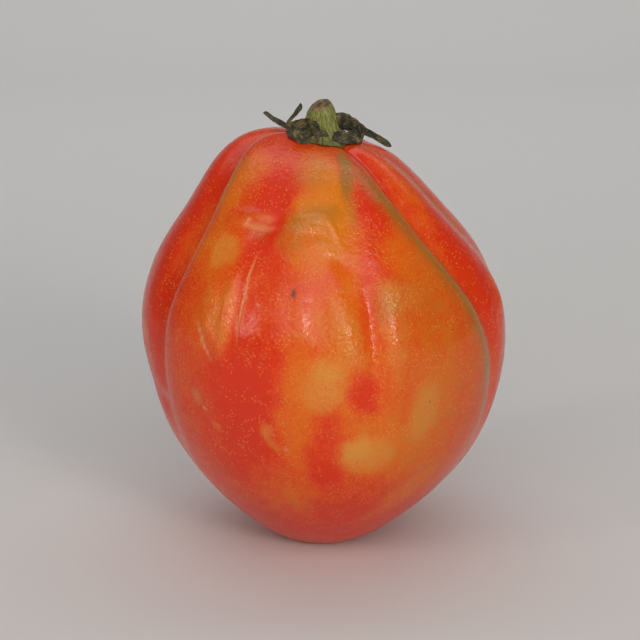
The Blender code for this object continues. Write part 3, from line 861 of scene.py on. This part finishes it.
def make_sepal(name, stations, seed):
    """One leaf: a thin troughed blade with veins along it, closed at both ends."""
    centres, widths, faces = (np.array(column, float) for column in zip(*stations))
    places = np.concatenate([[0.0], np.cumsum(np.linalg.norm(np.diff(centres, axis=0), axis=1))])
    at = np.linspace(0.0, places[-1], SEPAL_STATIONS)
    path = np.stack([eased(places, centres[:, k], at) for k in range(3)], -1)
    look = unit(np.stack([eased(places, faces[:, k], at) for k in range(3)], -1))
    heading = unit(np.gradient(path, at, axis=0))
    side = unit(np.cross(heading, look))
    look = unit(np.cross(side, heading))
    width = eased(places, widths, at)
    end = np.clip(np.minimum(at, places[-1] - at) / END_LENGTH, 0.0, 1.0)
    round_end = np.sqrt(np.maximum(1.0 - (1.0 - end) ** 2, LEAST_END))

    turn = np.arange(SEPAL_SECTION) * math.tau / SEPAL_SECTION
    along, across = np.meshgrid(at, np.cos(turn), indexing="ij")
    leaf_seed = np.full_like(across, seed)
    edge = waviness(np.stack([along, 3.0 * np.sign(across), leaf_seed], -1), EDGE_WAVE, seed)
    half = 0.5 * (width * round_end)[:, None] * (1.0 + EDGE_WANDER * edge * np.abs(across))
    vein = VEIN_HEIGHT * np.cos(VEIN_CLOSENESS * across + seed)
    vein = vein + FINE_VEIN_HEIGHT * np.cos(FINE_VEIN_CLOSENESS * across - FINE_VEIN_SLANT * along)
    crinkle_places = np.stack([along, 1.2 * across, leaf_seed], -1)
    crinkle = waviness(crinkle_places, CRINKLE_WAVE, seed + CRINKLE_SEED_STEP)
    thick = SEPAL_THICKNESS * np.sin(turn)[None, :] * 0.5 * round_end[:, None]
    lift = thick + TROUGH * width[:, None] * across**2 + (vein + CRINKLE * crinkle) * round_end[:, None]
    points = path[:, None, :] + side[:, None, :] * (across * half)[..., None]
    points = points + look[:, None, :] * lift[..., None]

    count = SEPAL_STATIONS * SEPAL_SECTION
    blade_faces = ring_quads(SEPAL_STATIONS, SEPAL_SECTION).tolist()
    blade_faces.append(list(range(SEPAL_SECTION)))
    blade_faces.append(list(range(count - 1, count - SEPAL_SECTION - 1, -1)))
    made = closed_mesh_object(name + "_blade", points.reshape(-1, 3), blade_faces)
    paint(made.data, "across", across * width[:, None])
    paint(made.data, "along", along + LEAF_SPACING * seed)
    return made


dried_sepal = dried_sepal_material()
for seed, (name, stations) in enumerate(SEPALS.items()):
    blade = make_sepal(name, stations, seed + 1.0)
    blade.data.materials.append(dried_sepal)
    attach(blade, "root")
    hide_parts(name)

# ----------------------------------------------------------------------------------------------------
# The studio: a pale sweep of paper, soft light from a large window-like panel and smaller panes beside
# it, and the camera. Sizes here are in metres.
# ----------------------------------------------------------------------------------------------------

SWEEP_HALF_WIDTH = 1.5
SWEEP_FRONT = -1.5
SWEEP_BACK = 0.80
SWEEP_CURVE = 0.50
SWEEP_TOP = 1.3
CURVE_STEPS = 32
PAPER_COLOUR = (0.74, 0.725, 0.71, 1.0)
PAPER_ROUGHNESS = 0.95
PAPER_SPECULAR = 0.1

profile = [(SWEEP_FRONT, 0.0)]
for step in range(CURVE_STEPS + 1):
    turn = math.radians(90.0 * step / CURVE_STEPS)
    profile.append((SWEEP_BACK + SWEEP_CURVE * math.sin(turn), SWEEP_CURVE * (1 - math.cos(turn))))
profile.append((SWEEP_BACK + SWEEP_CURVE, SWEEP_TOP))
sweep_points = [(x, y, z) for y, z in profile for x in (-SWEEP_HALF_WIDTH, SWEEP_HALF_WIDTH)]
sweep_faces = [(2 * i, 2 * i + 1, 2 * i + 3, 2 * i + 2) for i in range(len(profile) - 1)]
sweep_mesh = bpy.data.meshes.new("paper_sweep")
sweep_mesh.from_pydata(sweep_points, [], sweep_faces)
sweep_mesh.shade_smooth()
sweep = bpy.data.objects.new("paper_sweep", sweep_mesh)
bpy.context.scene.collection.objects.link(sweep)
paper = bpy.data.materials.new("pale_paper")
paper.use_nodes = True
paper_shader = paper.node_tree.nodes["Principled BSDF"]
paper_shader.inputs["Base Color"].default_value = PAPER_COLOUR
paper_shader.inputs["Roughness"].default_value = PAPER_ROUGHNESS
paper_shader.inputs["Specular IOR Level"].default_value = PAPER_SPECULAR
sweep_mesh.materials.append(paper)

WHITE_LIGHT = (1.0, 1.0, 1.0)
WARM_LIGHT = (1.0, 0.93, 0.82)
FRUIT_MIDDLE = (fruit_low + fruit_high) / 2
PAPER_BEHIND = (0.0, 0.80, 0.0)
BACKDROP_SPREAD = math.radians(120.0)
# Name, place, what it shines at, width, height, watts, colour.
STUDIO_LIGHTS = (
    ("window_panel", (0.04, -0.86, 0.62), FRUIT_MIDDLE, 1.2, 0.8, 4.3, WHITE_LIGHT),
    ("bright_pane", (0.44, -0.86, 0.36), FRUIT_MIDDLE, 0.20, 0.30, 2.6, WARM_LIGHT),
    ("side_pane", (-0.80, -0.55, 0.40), FRUIT_MIDDLE, 0.14, 0.40, 1.2, WARM_LIGHT),
    ("overhead_panel", (-0.1, -0.30, 1.1), FRUIT_MIDDLE, 0.9, 0.7, 0.8, WHITE_LIGHT),
    ("backdrop_light", (0.0, 0.55, 1.15), PAPER_BEHIND, 1.8, 0.7, 3.6, WHITE_LIGHT),
)
AIR_COLOUR = (0.93, 0.95, 1.0, 1.0)
AIR_STRENGTH = 0.13


def soft_light(name, place, look_at, width, height, watts, colour):
    lamp = bpy.data.lights.new(name, "AREA")
    lamp.shape = "RECTANGLE"
    lamp.size = width
    lamp.size_y = height
    lamp.energy = watts
    lamp.color = colour
    holder = bpy.data.objects.new(name, lamp)
    holder.location = place
    holder.rotation_euler = (Vector(look_at) - Vector(place)).to_track_quat("-Z", "Y").to_euler()
    bpy.context.scene.collection.objects.link(holder)


for light in STUDIO_LIGHTS:
    soft_light(*light)
bpy.data.lights["backdrop_light"].spread = BACKDROP_SPREAD

world = bpy.data.worlds.new("studio_air")
world.use_nodes = True
world.node_tree.nodes["Background"].inputs["Color"].default_value = AIR_COLOUR
world.node_tree.nodes["Background"].inputs["Strength"].default_value = AIR_STRENGTH
bpy.context.scene.world = world
bpy.context.scene.view_settings.view_transform = "Standard"

CAMERA_ELEVATION = math.radians(15.0)
CAMERA_DISTANCE = 0.5
CAMERA_LENS = 113.9
CAMERA_NEAREST = 0.01
AIM_ASIDE = -0.75
AIM_HEIGHT = 55.4
aim = Vector((AIM_ASIDE * MM, 0.0, AIM_HEIGHT * MM))
away = Vector((0.0, -math.cos(CAMERA_ELEVATION), math.sin(CAMERA_ELEVATION)))
camera = bpy.data.objects.new("camera", bpy.data.cameras.new("camera"))
camera.location = aim + CAMERA_DISTANCE * away
camera.rotation_euler = (aim - camera.location).to_track_quat("-Z", "Y").to_euler()
camera.data.lens = CAMERA_LENS
camera.data.clip_start = CAMERA_NEAREST
bpy.context.scene.collection.objects.link(camera)
bpy.context.scene.camera = camera
